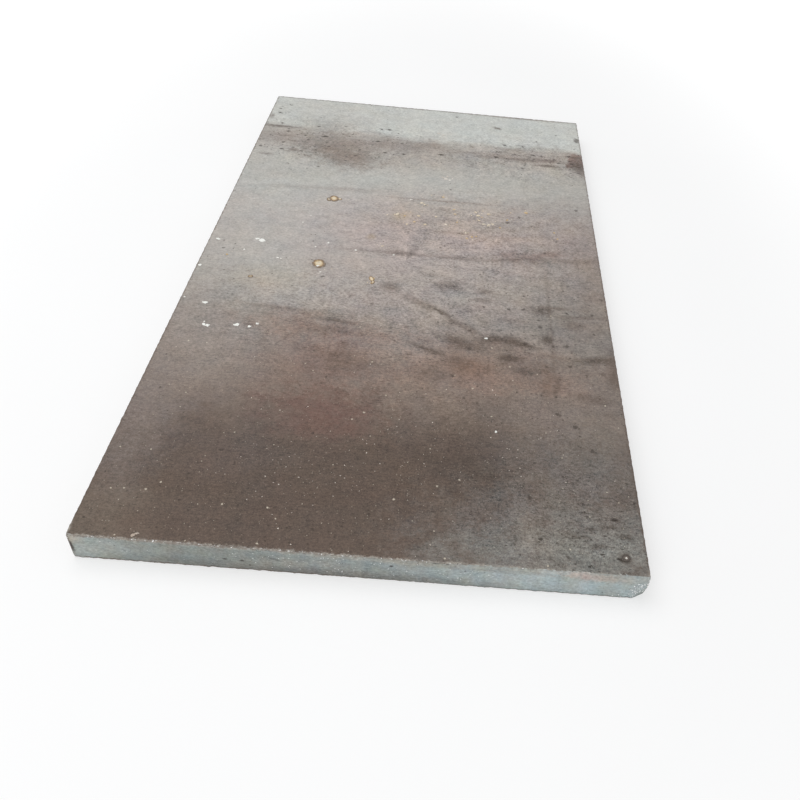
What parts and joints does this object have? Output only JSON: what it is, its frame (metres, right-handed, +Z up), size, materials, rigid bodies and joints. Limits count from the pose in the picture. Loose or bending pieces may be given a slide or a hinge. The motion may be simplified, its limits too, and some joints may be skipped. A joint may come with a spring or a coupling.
{
  "type": "hot-rolled steel plate",
  "caption": "Flat rectangular steel plate blank with blotchy mill scale, a pale end band, rust spots, a streaked sawn front end and knocked corners.",
  "frame": {"origin": "middle of the underside, on the surface that the plate lies on", "axes": "+X across the plate, +Y along it away from the front end that faces the camera, +Z up"},
  "size_m": [0.4, 0.73, 0.025],
  "materials": {
    "hot_rolled_steel": "as-rolled mill scale, mottled from pale grey-green to purple-brown, with a few rust blooms and dull grey sawn ends"
  },
  "bodies": {
    "root": {"steel_plate": "hot_rolled_steel"}
  },
  "joints": []
}
